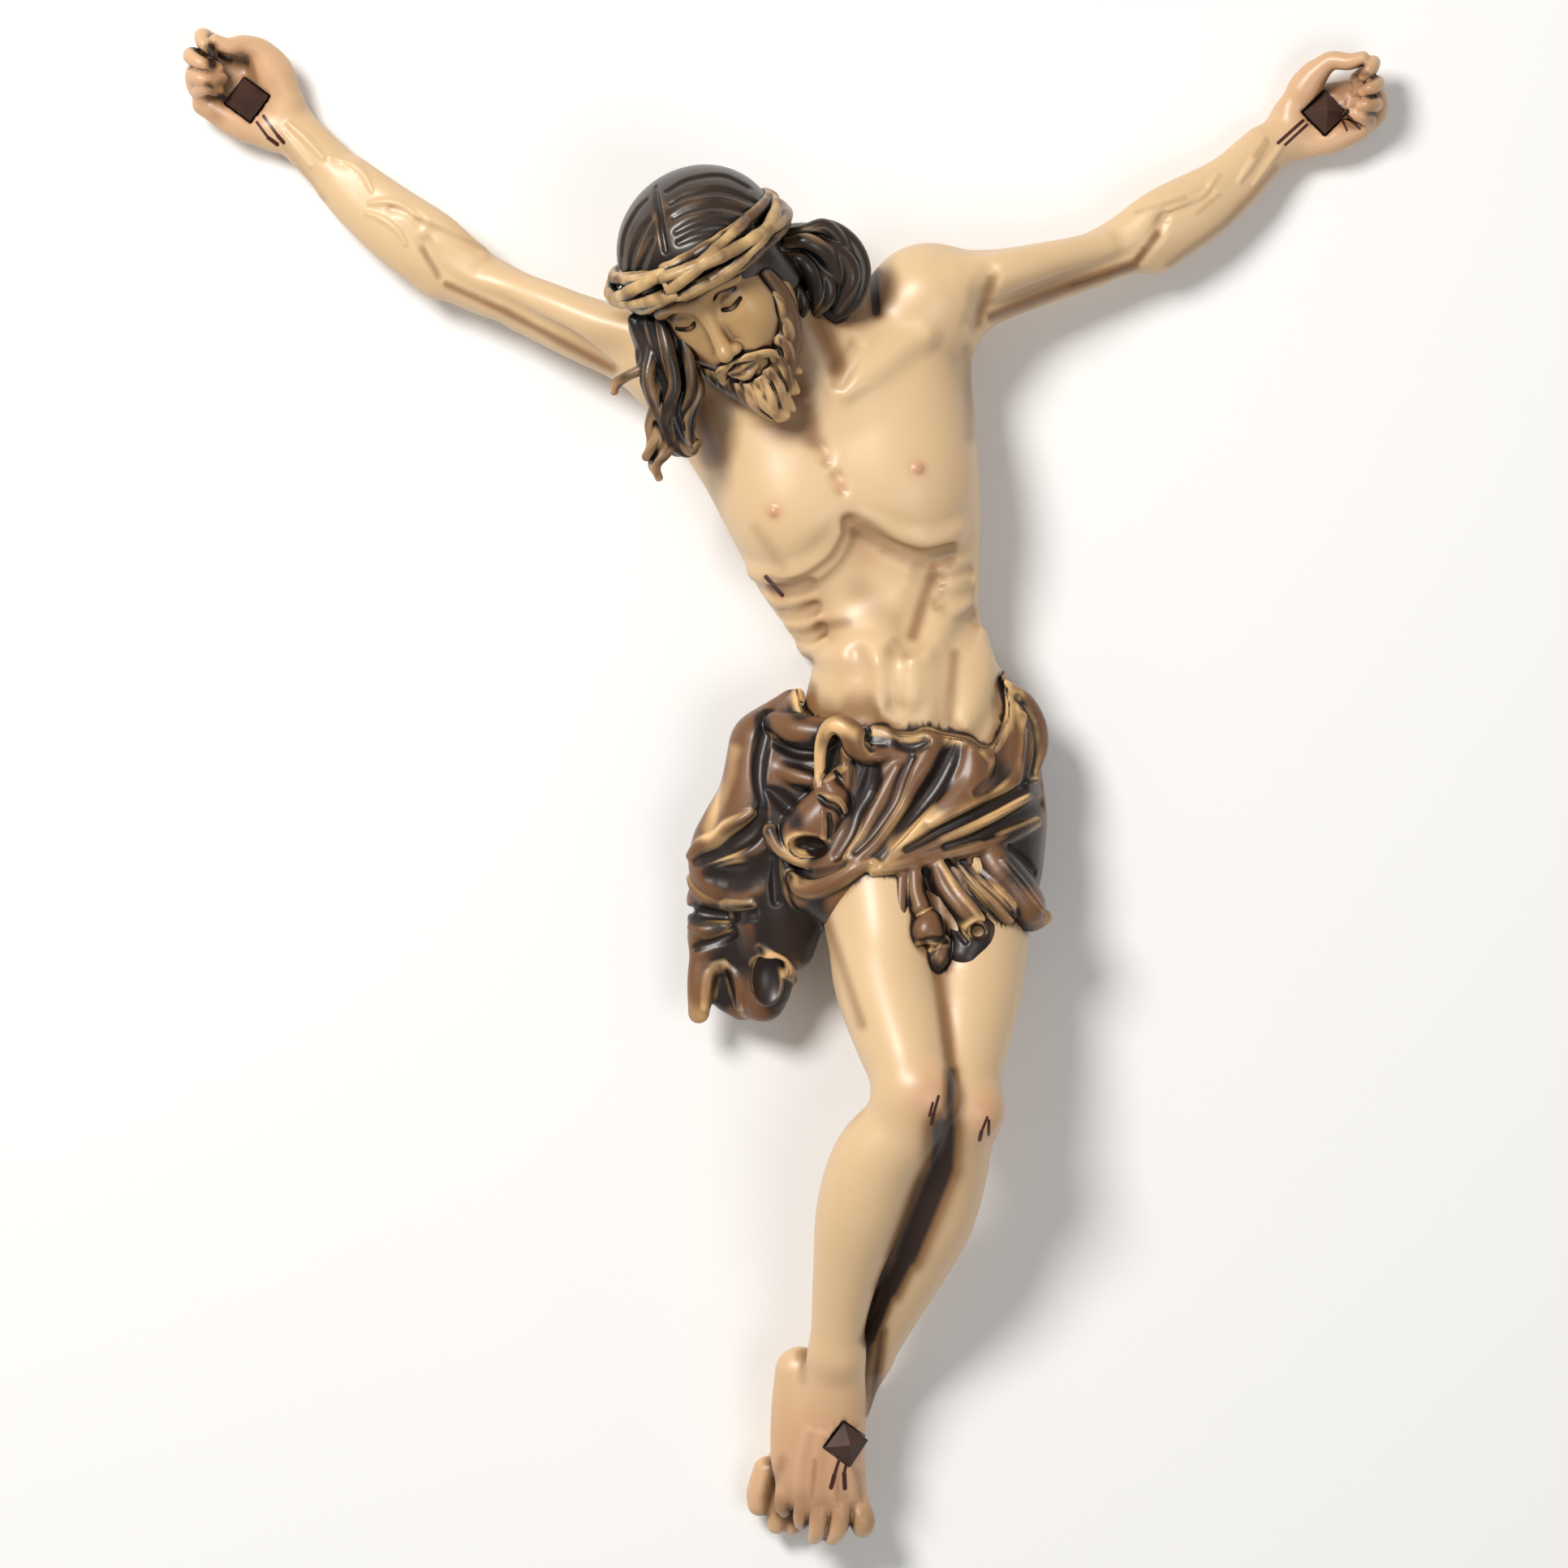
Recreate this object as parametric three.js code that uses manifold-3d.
// A carved corpus: the figure of a crucifix without its cross, lying on its back.
// The figure is modelled like clay. Runs and eggs are blended into one distance field, a mesh is laid on its
// surface and thinned out, and then the flat back and the nail holes are cut with real solids.
import * as THREE from 'three';
import { mergeVertices } from 'three/addons/utils/BufferGeometryUtils.js';
import Module from 'manifold-3d';

const wasm = await Module();
wasm.setup();

// Driving dimensions, in millimetres
const figureHeight = 600; // from the highest fingertip to the lowest toe
const nailHeadSide = 12.2; // square head, measured across its flat sides
const nailHeadRise = 5; // pyramid above the collar
const nailCollar = 1.6; // straight part under the pyramid
const nailSeat = 0.9; // how deep the collar is let into the carving
const nailShank = 4.6; // square shank under the head
const nailTip = 3; // the shank where it ends
const nailFit = 0.3; // gap around a nail in its hole
const nailShort = 0.7; // a shank ends this far above the surface the figure lies on

// The drawing that the figure is modelled from. It shows the front, with x to the right and y down from
// the sheet's top left corner, z toward the viewer and sheet.tall steps to the figure's height. It was
// drawn as seen from sheet.eye steps in front, so a near point is drawn farther out than it is.
const sheet = { tall: 1870, middleX: 966, middleY: 970.5, eye: 10900 };
const stepMm = figureHeight / sheet.tall;

function place(x, y, z, r = 0) {
  const near = 1 - z / sheet.eye;
  return [(x - sheet.middleX) * near, (sheet.middleY - y) * near, z, r * near];
}

// The clay: shapes with a distance each, in steps of the drawing

function smooth(points, pieces) {
  if (pieces === 1 || points.length === 2) return points;
  const size = points[0].length;
  const past = (a, b) => a.map((v, i) => 2 * v - b[i]);
  const row = [past(points[0], points[1]), ...points, past(points.at(-1), points.at(-2))];
  const out = [];
  for (let i = 1; i + 2 < row.length; i++) {
    for (let j = 0; j < pieces; j++) {
      const t = j / pieces;
      const p = [];
      for (let k = 0; k < size; k++) {
        const [a, b, c, d] = [row[i - 1][k], row[i][k], row[i + 1][k], row[i + 2][k]];
        p.push(b + 0.5 * t * (c - a + t * (2 * a - 5 * b + 4 * c - d + t * (3 * (b - c) + d - a))));
      }
      out.push(p);
    }
  }
  out.push(points.at(-1));
  return out;
}

// Is a shape's box within reach of another box?
const isNear = (shape, lo, hi, reach) =>
  shape.lo.every((v, i) => v <= hi[i] + reach && shape.hi[i] >= lo[i] - reach);
// The distance to an egg or a pressed bar is read too short, so more room is left around those
const eggPad = (reach) => 1.6 * reach + 10;

class Bar {
  // A ball at a and one at b, joined by a cone, pressed flat along n
  constructor(a, b, flat, n) {
    this.flat = flat;
    this.n = n;
    this.a = this.drawnOut(...a);
    this.ab = this.drawnOut(...b).map((v, i) => v - this.a[i]);
    this.l2 = Math.max(this.ab[0] ** 2 + this.ab[1] ** 2 + this.ab[2] ** 2, 1e-6);
    this.ra = Math.max(a[3], 0.2);
    this.dr = Math.max(b[3], 0.2) - this.ra;
    const slope = Math.min(0.98, Math.max(-0.98, -this.dr / Math.sqrt(this.l2)));
    this.lean = slope / Math.sqrt((1 - slope * slope) * this.l2);
    const reach = Math.max(a[3], b[3]);
    this.lo = [0, 1, 2].map((i) => Math.min(a[i], b[i]) - reach);
    this.hi = [0, 1, 2].map((i) => Math.max(a[i], b[i]) + reach);
  }

  // Pressed space drawn out again, so that the bar is round in it
  drawnOut(x, y, z) {
    const { n, flat } = this;
    const far = (flat - 1) * (x * n[0] + y * n[1] + z * n[2]);
    return [x + far * n[0], y + far * n[1], z + far * n[2]];
  }

  isNear(lo, hi, reach) {
    return isNear(this, lo, hi, this.flat === 1 ? reach : eggPad(reach));
  }

  distance(x, y, z) {
    const { a, ab, n, flat } = this;
    const far = (flat - 1) * (x * n[0] + y * n[1] + z * n[2]);
    const qx = x + far * n[0] - a[0];
    const qy = y + far * n[1] - a[1];
    const qz = z + far * n[2] - a[2];
    const share = (qx * ab[0] + qy * ab[1] + qz * ab[2]) / this.l2;
    const off2 = Math.max(qx * qx + qy * qy + qz * qz - share * share * this.l2, 0);
    const t = Math.min(1, Math.max(0, share - this.lean * Math.sqrt(off2)));
    const gap = Math.sqrt(off2 + (share - t) ** 2 * this.l2 + 1e-9);
    const value = gap - this.ra - t * this.dr;
    if (flat === 1) return value;
    const across = (qx - t * ab[0]) * n[0] + (qy - t * ab[1]) * n[1] + (qz - t * ab[2]) * n[2];
    return (value * gap) / Math.sqrt(gap * gap + (flat * flat - 1) * across * across);
  }
}

class Egg {
  constructor(centre, radii, axes) {
    Object.assign(this, { centre, radii, axes });
    const reach = [0, 1, 2].map((i) => Math.hypot(...axes.map((axis, k) => axis[i] * radii[k])));
    this.lo = reach.map((v, i) => centre[i] - v);
    this.hi = reach.map((v, i) => centre[i] + v);
  }

  isNear(lo, hi, reach) {
    return isNear(this, lo, hi, eggPad(reach));
  }

  distance(x, y, z) {
    const q = [x - this.centre[0], y - this.centre[1], z - this.centre[2]];
    let k = 0;
    let g = 0;
    for (let i = 0; i < 3; i++) {
      const [a, r] = [this.axes[i], this.radii[i]];
      const w = (q[0] * a[0] + q[1] * a[1] + q[2] * a[2]) / r;
      k += w * w;
      g += (w / r) ** 2;
    }
    k = Math.sqrt(k) + 1e-9;
    return ((k - 1) * k) / (Math.sqrt(g) + 1e-9);
  }
}

const upright = [[1, 0, 0], [0, 1, 0], [0, 0, 1]];

class Clay {
  constructor() {
    this.ops = [];
  }

  add(shapes, blend, cut) {
    const lo = [0, 1, 2].map((i) => Math.min(...shapes.map((s) => s.lo[i])));
    const hi = [0, 1, 2].map((i) => Math.max(...shapes.map((s) => s.hi[i])));
    this.ops.push({ shapes, blend, cut, lo, hi });
  }

  // A chain of bars through the points [x, y, z, r]
  run(points, { blend = 12, flat = 1, across = [0, 0, 1], cut = false, pieces = 3 } = {}) {
    const p = smooth(points, pieces);
    const size = Math.hypot(...across);
    const n = across.map((v) => v / size);
    this.add(p.slice(1).map((b, i) => new Bar(p[i], b, flat, n)), blend, cut);
  }

  egg(centre, radii, { blend = 12, axes = upright, cut = false } = {}) {
    this.add([new Egg(centre, radii, axes)], blend, cut);
  }

  // What matters near a box, so that far shapes cost nothing. A shape matters as far as the later ones blend.
  near(lo, hi, reach) {
    const out = [];
    let widest = 0;
    for (const op of [...this.ops].reverse()) {
      const blend = Math.max(widest, op.blend);
      const pad = reach + 1.25 * blend;
      if (!isNear(op, lo, hi, eggPad(pad))) continue;
      const shapes = op.shapes.filter((s) => s.isNear(lo, hi, pad));
      if (!shapes.length) continue;
      out.unshift({ ...op, shapes });
      widest = blend;
    }
    return out;
  }

  static distance(ops, x, y, z) {
    let d = 1e3;
    for (const op of ops) {
      let e = 1e3;
      for (const s of op.shapes) e = Math.min(e, s.distance(x, y, z));
      if (op.cut) d = -d;
      const h = Math.max(op.blend - Math.abs(d - e), 0) / op.blend;
      d = Math.min(d, e) - (h * h * op.blend) / 4;
      if (op.cut) d = -d;
    }
    return d;
  }

  // Height of the front surface over a place
  top(x, y) {
    const ops = this.near([x, y, -40], [x, y, 400], 60);
    let z = 400;
    for (let i = 0; i < 80; i++) {
      const d = Clay.distance(ops, x, y, z);
      if (Math.abs(d) < 0.3 || z < 0) break;
      z -= Math.min(d, 50) * 0.85;
    }
    return Math.max(z, 0);
  }

  // A run that lies on the front surface, through places [x, y, r] of the drawing. lift is a share of r.
  drape(points, { lift = 0, ...rest } = {}) {
    const p = smooth(points, 3).map(([x, y, r]) => {
      let at = place(x, y, 200, r);
      const z = this.top(at[0], at[1]);
      at = place(x, y, z, r);
      return [at[0], at[1], this.top(at[0], at[1]) + lift * r, at[3]];
    });
    this.run(p, { ...rest, pieces: 1 });
  }
}

const drawn = (rows) => rows.map((row) => place(...row));
const spot = (row) => place(...row).slice(0, 3);

// Torso, with its ribs, belly and shoulders

const trunk = [
  [1014, 440, 112, 80], [1022, 500, 112, 124], [1032, 550, 110, 150], [1056, 625, 110, 144],
  [1082, 700, 108, 118], [1108, 780, 104, 101], [1112, 850, 102, 112], [1127, 934, 100, 148],
  [1133, 1010, 98, 150],
];
// Edges that carry the outline of the chest
const flanks = [
  [[866, 528, 92, 33], [886, 564, 94, 33], [904, 596, 98, 29], [944, 660, 100, 31], [960, 706, 100, 29],
    [980, 742, 100, 26],
    [1001, 772, 100, 22]],
  [[1168, 430, 98, 22], [1172, 500, 98, 25], [1172, 580, 98, 26], [1175, 650, 98, 27], [1174, 710, 98, 26]],
];
const girdle = [
  [862, 470, 112, 56], [950, 462, 116, 62], [1030, 446, 118, 62], [1106, 410, 120, 62], [1140, 376, 120, 58],
];
const chestMuscles = [
  [[1104, 530, 146], [76, 84, 56]], [[968, 560, 142], [74, 78, 54]],
  [[1108, 606, 148], [70, 64, 52]], [[992, 638, 150], [64, 60, 52]],
];

function torso(clay) {
  clay.run(drawn(trunk), { flat: 1.78 });
  for (const rows of flanks) clay.run(drawn(rows), { blend: 26 });
  clay.run(drawn(girdle), { blend: 60 });
  for (const [middle, radii] of chestMuscles) clay.egg(spot(middle), radii, { blend: 60 });
  // shoulder blades, on which the figure rests
  for (const [x, y] of [[935, 545], [1120, 505]]) clay.egg(spot([x, y, 31]), [62, 80, 36], { blend: 40 });
  // belly, hollow under the arch of the ribs
  clay.egg(spot([1068, 716, 206]), [58, 48, 30], { blend: 50, cut: true });
  clay.egg(spot([1112, 832, 142]), [80, 62, 46], { blend: 60 });
}

// Valleys that lie on the body: how far each blends, its lift, and its rows of x, y and radius
const valleys = [
  [8, 0.68, [[1045, 644, 2], [1045, 656, 4], [1041, 668, 5], [1030, 688, 6], [1012, 704, 6], [992, 716, 6],
    [968, 721, 5], [944, 716, 3]]],
  [20, 0.75, [[1050, 646, 2], [1072, 660, 5], [1106, 680, 7], [1140, 690, 7], [1170, 682, 5]]],
  [14, 1.5, [[1013, 550, 1], [1017, 559, 5], [1019, 568, 1]]],
  [14, 1.5, [[1031, 586, 1], [1035, 594, 6], [1038, 604, 1]]],
  [30, 1.2, [[1156, 690, 3], [1148, 716, 10], [1138, 744, 12], [1127, 770, 8], [1120, 794, 2]]],
  [22, 1.1, [[1202, 756, 2], [1184, 790, 8], [1175, 820, 10], [1172, 860, 10], [1165, 904, 6]]],
  [24, 1.8, [[1102, 800, 2], [1103, 830, 8], [1102, 868, 2]]],
  [24, 1.9, [[1054, 804, 2], [1058, 840, 7], [1062, 880, 3]]],
  [16, 0.92, [[1206, 404, 4], [1216, 372, 5], [1224, 346, 3]]],
  [16, 0.92, [[1056, 424, 3], [1042, 452, 6], [1036, 470, 4]]],
  [16, 1.5, [[952, 726, 1], [974, 728, 5], [996, 720, 1]]],
  [16, 1.5, [[964, 756, 1], [982, 757, 5], [1002, 748, 1]]],
  [16, 1.5, [[976, 784, 1], [994, 784, 5], [1010, 776, 1]]],
  [18, 1.8, [[1158, 716, 1], [1176, 712, 5], [1196, 702, 1]]],
  [18, 1.8, [[1158, 742, 1], [1178, 737, 5], [1198, 727, 1]]],
];
const costalArch = [
  [[1040, 650, 6], [1028, 668, 12], [1008, 688, 15], [984, 703, 15], [958, 708, 13], [932, 704, 9]],
  [[1054, 640, 6], [1082, 648, 12], [1116, 660, 13], [1150, 664, 12], [1180, 652, 7]],
];
const bellyFolds = [
  [[1014, 806, 4], [1042, 808, 12], [1080, 806, 14], [1114, 804, 12], [1138, 808, 4]],
  [[1086, 820, 6], [1088, 842, 10], [1088, 866, 6]], [[1122, 814, 6], [1123, 834, 10], [1122, 856, 6]],
  [[1206, 786, 8], [1206, 820, 16], [1198, 860, 14], [1188, 888, 8]],
];
const collarbones = [
  [[1044, 480, 3], [1078, 458, 6], [1112, 430, 6], [1140, 412, 3]],
  [[990, 492, 3], [956, 498, 5], [912, 502, 3]],
];
// Short ridges of the ribs, round each flank
const flankRibs = [
  [[952, 736, 5], [976, 742, 14], [1000, 735, 5]], [[974, 770, 4], [990, 771, 14], [1010, 762, 4]],
  [[986, 796, 5], [1000, 797, 13], [1016, 790, 4]],
  [[1158, 702, 5], [1174, 700, 12], [1192, 692, 5]], [[1162, 724, 4], [1180, 724, 11], [1196, 718, 4]],
  [[1160, 750, 5], [1176, 748, 11], [1194, 742, 4]],
];
const nipples = [[953, 630], [1130, 577]];

function ribs(clay) {
  for (const rows of costalArch) clay.drape(rows, { lift: -0.68, blend: 18 });
  for (const rows of bellyFolds) clay.drape(rows, { lift: -1.05, blend: 22 });
  for (const rows of collarbones) clay.drape(rows, { lift: -0.7, blend: 26 });
  for (const rows of flankRibs) clay.drape(rows, { lift: -0.95, blend: 14 });
  for (const [blend, lift, rows] of valleys) clay.drape(rows, { lift, blend, cut: true });
  for (const [x, y] of nipples) clay.drape([[x, y, 6], [x + 1, y, 6]], { lift: -0.5, blend: 5 });
}

function neck(clay) {
  clay.run(drawn([[1028, 470, 124, 64], [975, 410, 176, 56], [930, 370, 212, 52]]), { blend: 60 });
  clay.run(drawn([[984, 372, 226, 12], [1008, 424, 204, 13], [1028, 470, 180, 9]]), { blend: 22 });
}

// Arms and hands

const leftArm = {
  bone: [
    [1160, 368, 116, 60], [1206, 355, 106, 47], [1240, 346, 98, 40], [1290, 333, 88, 35], [1344, 319, 78, 32],
    [1386, 302, 70, 36], [1418, 288, 64, 41], [1470, 258, 56, 40], [1518, 226, 48, 34], [1556, 190, 40, 30],
    [1590, 163, 34, 29],
  ],
  shoulder: [[1137, 366, 122], [64, 60, 62]],
  muscles: [
    [[1180, 344, 150, 24], [1240, 334, 138, 25], [1300, 319, 118, 21], [1360, 302, 98, 13]],
    [[1208, 384, 96, 17], [1280, 359, 82, 15], [1350, 337, 70, 12]],
    [[1392, 284, 78, 16], [1430, 256, 76, 22], [1500, 220, 62, 17], [1550, 174, 48, 12]],
    [[1420, 314, 60, 18], [1470, 280, 58, 23], [1530, 232, 50, 16]],
  ],
  elbow: [[1424, 312, 54], [24, 20, 22]],
};
const rightArm = {
  bone: [
    [845, 445, 110, 62], [790, 428, 104, 47], [720, 402, 92, 37], [650, 374, 80, 33], [600, 352, 70, 37],
    [556, 330, 64, 39], [520, 304, 60, 42], [488, 278, 56, 43], [450, 247, 48, 38], [425, 224, 44, 33],
    [400, 199, 40, 31], [372, 171, 36, 30], [350, 152, 32, 29],
  ],
  shoulder: [[838, 440, 114], [70, 66, 60]],
  muscles: [
    [[800, 412, 140, 22], [740, 398, 128, 24], [670, 370, 108, 22], [612, 346, 90, 13]],
    [[780, 456, 92, 16], [700, 422, 82, 15], [640, 394, 70, 11]],
    [[584, 314, 84, 14], [540, 280, 84, 19], [490, 250, 76, 17], [440, 210, 60, 12]],
    [[540, 342, 64, 18], [500, 312, 66, 21], [450, 270, 58, 17], [410, 234, 48, 12]],
  ],
  elbow: [[536, 345, 54], [22, 19, 22]],
};
// Grooves between the long muscles of the arms: blend, lift and rows
const armGrooves = [
  [18, 1.6, [[1196, 396, 2], [1206, 380, 5], [1213, 352, 6], [1220, 330, 3]]],
  [14, 1.4, [[1218, 384, 2], [1262, 366, 5], [1310, 349, 6], [1356, 334, 5], [1396, 314, 5], [1422, 288, 4],
    [1432, 270, 2]]],
  [12, 1.6, [[1432, 272, 2], [1426, 292, 5], [1418, 308, 5], [1406, 322, 2]]],
  [14, 1.4, [[1440, 264, 2], [1466, 252, 4], [1490, 236, 3]]],
  [14, 1.0, [[752, 452, 2], [706, 420, 6], [660, 396, 6], [620, 374, 6], [584, 360, 5], [556, 344, 5],
    [534, 322, 4], [524, 300, 2]]],
  [14, 1.4, [[590, 306, 2], [560, 294, 5], [534, 284, 3]]],
  [12, 1.5, [[482, 256, 1], [502, 260, 4], [518, 276, 2]]],
];
// Veins and sinews
const sinews = [
  [[350, 164, 2], [368, 186, 4], [382, 204, 2]], [[356, 152, 2], [378, 172, 4], [398, 194, 2]],
  [[408, 194, 1], [430, 200, 3], [448, 214, 3], [458, 234, 1]], [[456, 250, 1], [476, 248, 3],
    [498, 254, 3], [516, 268, 1]],
  [[452, 262, 1], [472, 270, 3], [490, 284, 3], [500, 300, 1]], [[1560, 176, 2], [1540, 204, 4],
    [1528, 222, 2]],
  [[1578, 182, 2], [1560, 206, 4], [1546, 226, 2]], [[1500, 216, 1], [1482, 240, 3], [1458, 250, 3],
    [1440, 258, 1]],
];

function arm(clay, { bone, shoulder, muscles, elbow }) {
  clay.run(drawn(bone), { blend: 30, flat: 1.06 });
  clay.egg(spot(shoulder[0]), shoulder[1], { blend: 26 });
  for (const rows of muscles) clay.run(drawn(rows), { blend: 18 });
  clay.egg(spot(elbow[0]), elbow[1], { blend: 16 });
}

function armDetails(clay) {
  for (const [blend, lift, rows] of armGrooves) clay.drape(rows, { lift, blend, cut: true });
  for (const rows of sinews) clay.drape(rows, { lift: -0.4, blend: 5 });
}

const rightHand = {
  palm: [[348, 148, 24, 34], [318, 122, 21, 44], [288, 104, 20, 44], [264, 96, 24, 36]],
  pads: [
    [[352, 122, 44, 20], [336, 88, 48, 24], [322, 68, 52, 16]],
    [[335, 168, 40, 16], [296, 152, 44, 20], [262, 132, 44, 17]],
  ],
  thumb: [[338, 90, 46, 20], [322, 64, 56, 15], [301, 55, 66, 12], [281, 57, 76, 10.5], [265, 51, 80, 9]],
  fingers: [
    [[280, 68, 38, 13], [258, 50, 50, 11], [249, 44, 64, 9.5], [251, 54, 76, 8.5], [261, 66, 72, 8]],
    [[264, 80, 38, 14], [243, 71, 52, 12], [236, 69, 68, 10.5], [248, 78, 80, 9], [268, 84, 72, 8]],
    [[260, 98, 38, 14], [246, 94, 54, 12], [239, 93, 70, 11], [252, 98, 80, 9.5], [273, 97, 68, 8]],
    [[264, 122, 34, 13], [250, 118, 48, 12], [246, 112, 62, 10], [254, 108, 74, 9], [268, 111, 68, 8]],
    [[268, 134, 32, 14], [250, 130, 44, 12], [248, 124, 50, 10]],
  ],
};
const leftHand = {
  palm: [[1600, 148, 24, 34], [1630, 146, 21, 42], [1658, 138, 20, 39], [1676, 130, 24, 34]],
  pads: [
    [[1592, 131, 44, 16], [1608, 108, 48, 19], [1618, 92, 52, 15]],
    [[1604, 180, 38, 14], [1640, 172, 44, 17], [1672, 158, 44, 16]],
  ],
  thumb: [[1607, 110, 46, 18], [1622, 90, 54, 15], [1640, 75, 62, 12], [1662, 76, 70, 10.5],
    [1679, 72, 74, 9]],
  fingers: [
    [[1674, 98, 38, 11], [1688, 84, 52, 10], [1692, 77, 66, 9], [1689, 84, 78, 8.5], [1682, 94, 76, 8]],
    [[1676, 114, 36, 13], [1692, 105, 50, 11.5], [1696, 103, 68, 10], [1690, 108, 80, 9], [1681, 114, 76, 8]],
    [[1674, 132, 36, 13], [1690, 129, 50, 11.5], [1694, 128, 66, 10], [1687, 129, 78, 9], [1677, 130, 76, 8]],
    [[1668, 150, 34, 13], [1682, 152, 46, 11], [1686, 148, 58, 10], [1678, 143, 70, 9], [1666, 139, 70, 8]],
  ],
};

function hand(clay, { palm, pads, thumb, fingers }) {
  clay.run(drawn(palm), { flat: 1.7, blend: 16 });
  for (const rows of pads) clay.run(drawn(rows), { flat: 1.2, blend: 16 });
  clay.run(drawn(thumb), { blend: 8 });
  for (const rows of fingers) clay.run(drawn(rows), { blend: 4 });
}

// Legs and feet

const legs = [
  {
    thigh: [[1180, 1020, 112, 84], [1195, 1120, 136, 74], [1197, 1200, 162, 65], [1190, 1260, 190, 59],
      [1184, 1320, 216, 49], [1186, 1366, 220, 46]],
    shin: [[1186, 1366, 220, 46], [1177, 1400, 206, 46], [1166, 1440, 184, 51], [1147, 1500, 160, 53],
      [1121, 1560, 134, 45], [1094, 1620, 108, 35], [1070, 1672, 88, 28]],
    cap: [[1206, 1368, 244], [24, 27, 22]],
  },
  {
    thigh: [[1080, 1040, 118, 86], [1092, 1150, 162, 73], [1094, 1210, 192, 66], [1112, 1280, 230, 58],
      [1124, 1325, 256, 49], [1126, 1350, 260, 47]],
    shin: [[1126, 1350, 260, 47], [1114, 1385, 250, 49], [1080, 1430, 232, 55], [1060, 1490, 212, 54],
      [1044, 1560, 186, 42], [1034, 1620, 164, 34], [1031, 1668, 148, 32]],
    cap: [[1146, 1345, 286], [26, 30, 22]],
  },
];

function leg(clay, { thigh, shin, cap }) {
  clay.run(drawn(thigh), { blend: 14 });
  clay.run(drawn(shin), { blend: 22 });
  clay.egg(spot(cap[0]), cap[1], { blend: 20 });
}

const leftFoot = {
  parts: [
    [[1067, 1672, 88, 28], [1053, 1700, 72, 31], [1016, 1745, 48, 40], [990, 1790, 38, 39],
      [962, 1826, 34, 24]],
    [[1052, 1710, 34, 28], [1036, 1738, 26, 33], [1002, 1790, 24, 39]],
  ],
  toes: [
    [[946, 1812, 42, 18], [937, 1838, 40, 17], [936, 1853, 40, 15]],
    [[964, 1838, 36, 15], [959, 1866, 38, 14], [957, 1878, 36, 12]],
    [[986, 1850, 34, 13], [980, 1872, 34, 12], [977, 1881, 32, 10]],
  ],
};
const rightFoot = {
  parts: [
    [[1031, 1668, 148, 32], [1028, 1700, 132, 38], [1024, 1750, 112, 43], [1024, 1800, 96, 41],
      [1026, 1832, 84, 40]],
    [[986, 1690, 100, 31], [987, 1740, 90, 37], [990, 1796, 78, 40], [998, 1828, 72, 38]],
  ],
  toes: [
    [[1050, 1806, 92, 15], [1056, 1846, 90, 13], [1062, 1872, 92, 16], [1063, 1882, 86, 13]],
    [[1034, 1832, 90, 12], [1036, 1862, 102, 13], [1032, 1884, 96, 12], [1025, 1896, 82, 9]],
    [[1008, 1826, 86, 12], [1010, 1860, 98, 13], [1008, 1882, 92, 12], [1004, 1894, 78, 9]],
    [[990, 1820, 80, 12], [990, 1850, 90, 12], [988, 1868, 84, 11], [987, 1876, 72, 9]],
    [[972, 1806, 70, 12], [967, 1838, 78, 12], [965, 1854, 72, 11], [966, 1862, 62, 8]],
  ],
  tendons: [
    [[1034, 1776, 3], [1046, 1808, 6], [1052, 1846, 5]], [[1026, 1770, 3], [1030, 1810, 6], [1034, 1850, 5]],
    [[1012, 1768, 3], [1008, 1808, 6], [1008, 1848, 5]], [[998, 1764, 3], [990, 1804, 6], [988, 1840, 5]],
  ],
};

function foot(clay, { parts, toes, tendons = [] }) {
  for (const rows of parts) clay.run(drawn(rows), { flat: 1.3, blend: 16 });
  for (const rows of tendons) clay.drape(rows, { lift: -0.75, blend: 10 });
  for (const rows of toes) clay.run(drawn(rows), { blend: 5 });
}

// Head. Its own axes run from the head's middle: side (the figure's left), up (the crown) and front
// (the face).

const headMiddle = place(866, 318, 265).slice(0, 3);
const headAxes = [[0.82, 0.373, 0.434], [-0.556, 0.698, 0.4505], [-0.135, -0.611, 0.78]];
const onHead = (s, u, f, r = 0) => [
  ...[0, 1, 2].map((i) => headMiddle[i] + s * headAxes[0][i] + u * headAxes[1][i] + f * headAxes[2][i]), r,
];
const headRun = (clay, rows, options) => clay.run(rows.map((row) => onHead(...row)), options);
const headEgg = (clay, [s, u, f, ...radii], options) =>
  clay.egg(onHead(s, u, f).slice(0, 3), radii, { axes: headAxes, ...options });

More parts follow.
